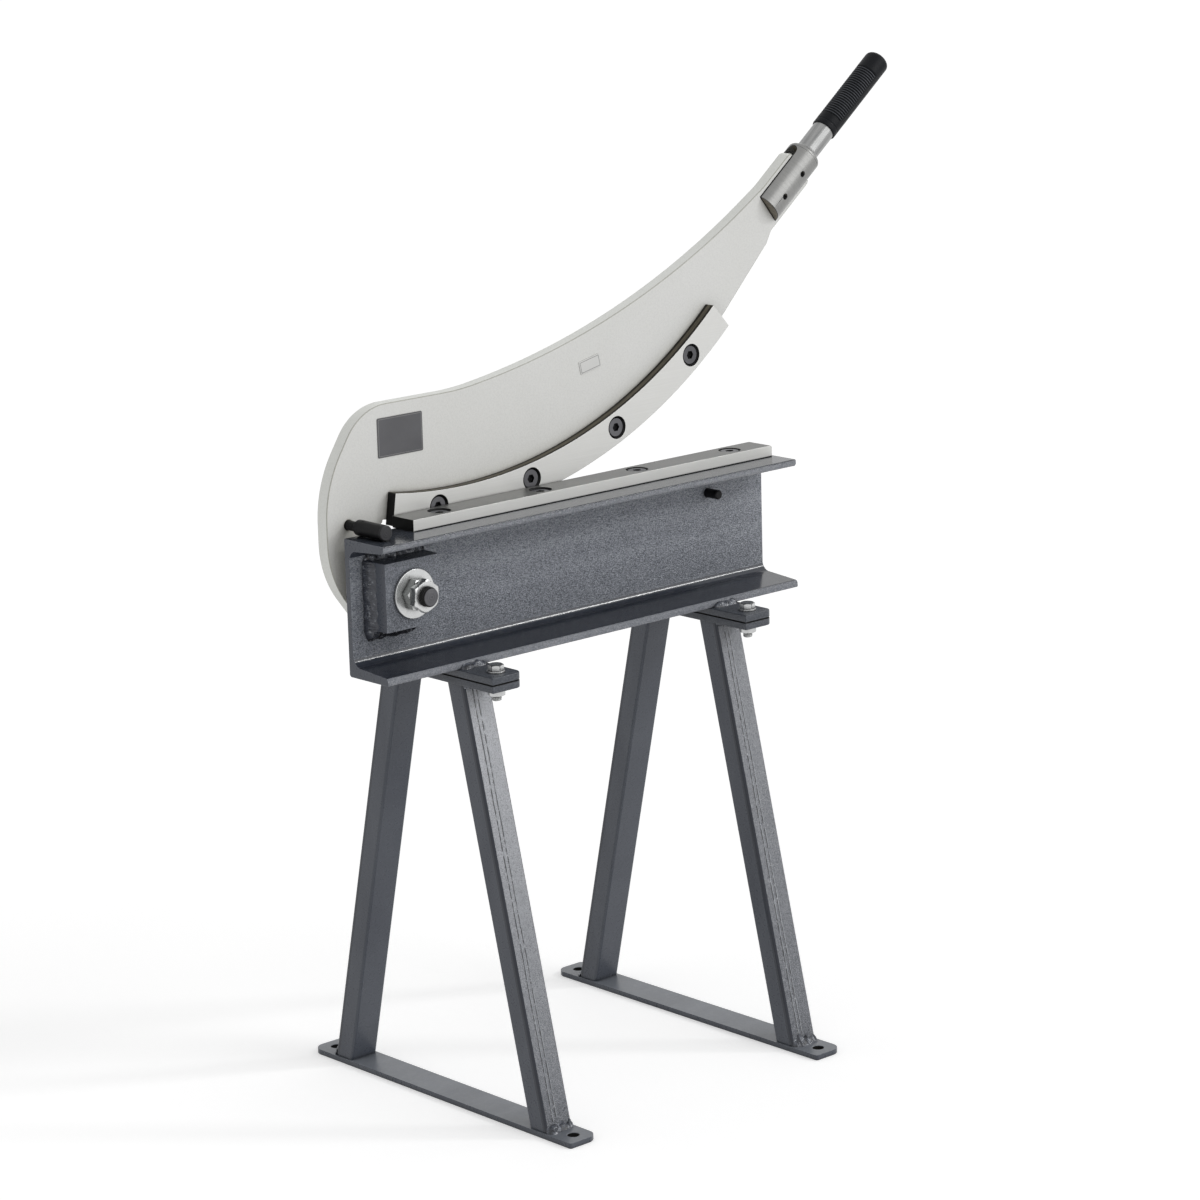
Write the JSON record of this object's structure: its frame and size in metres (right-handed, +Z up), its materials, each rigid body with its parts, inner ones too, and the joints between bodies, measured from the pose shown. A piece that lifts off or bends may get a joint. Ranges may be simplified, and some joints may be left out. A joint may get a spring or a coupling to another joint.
{
  "type": "hand lever plate shear",
  "caption": "Hand lever plate shear with a curved arm and bolted blades on a channel beam, carried by two splayed trestle stands.",
  "frame": {"origin": "centre of the four floor bolt holes, at the underside of the two base bars", "axes": "+X along the beam to the operator's right, +Y away from the operator, +Z up"},
  "size_m": [0.8056, 0.412, 1.0186],
  "materials": {
    "hammer_blue": "hammered blue-grey enamel",
    "cream_paint": "fine textured cream-grey powder coat",
    "blade_steel": "ground tool steel",
    "black_steel": "black oxide",
    "zinc": "bright zinc plate",
    "satin_steel": "satin turned steel",
    "bronze": "plain bearing bronze",
    "black_grip": "ribbed soft plastic",
    "black_foil": "bare dark plate",
    "grey_foil": "bare grey plate"
  },
  "bodies": {
    "frame": {"base_channel": "hammer_blue", "pivot_block": "hammer_blue", "pivot_block_welds": "hammer_blue", "lower_blade": "blade_steel", "lower_blade_screws": "black_steel", "pivot_bolt": "black_steel", "front_washer": "zinc", "pivot_nut": "zinc", "lock_nut": "zinc", "thrust_spacer": "blade_steel", "rear_washer": "zinc", "down_stop_pin": "black_steel", "left_beam_plate": "hammer_blue", "right_beam_plate": "hammer_blue", "beam_plate_welds": "hammer_blue", "left_stand_plate": "hammer_blue", "right_stand_plate": "hammer_blue", "left_front_leg": "hammer_blue", "left_rear_leg": "hammer_blue", "right_front_leg": "hammer_blue", "right_rear_leg": "hammer_blue", "left_base_bar": "hammer_blue", "right_base_bar": "hammer_blue", "left_stand_welds": "hammer_blue", "right_stand_welds": "hammer_blue", "left_stand_bolts": "zinc", "right_stand_bolts": "zinc", "left_stand_washers": "zinc", "right_stand_washers": "zinc", "left_stand_nuts": "zinc", "right_stand_nuts": "zinc"},
    "arm": {"arm_plate": "cream_paint", "upper_blade": "blade_steel", "upper_blade_screws": "black_steel", "pivot_bush": "bronze", "stop_pin": "black_steel", "handle_socket": "satin_steel", "cross_pins": "black_steel", "handle_rod": "satin_steel", "handle_grip": "black_grip", "rating_plate": "black_foil", "mark_plate": "grey_foil"}
  },
  "joints": [
    {"name": "arm_swing", "type": "hinge", "parent": "frame", "child": "arm", "pos_m": [-0.23, 0, 0.549], "axis": [0, 1, 0], "range_deg": [0, 15.1]}
  ]
}
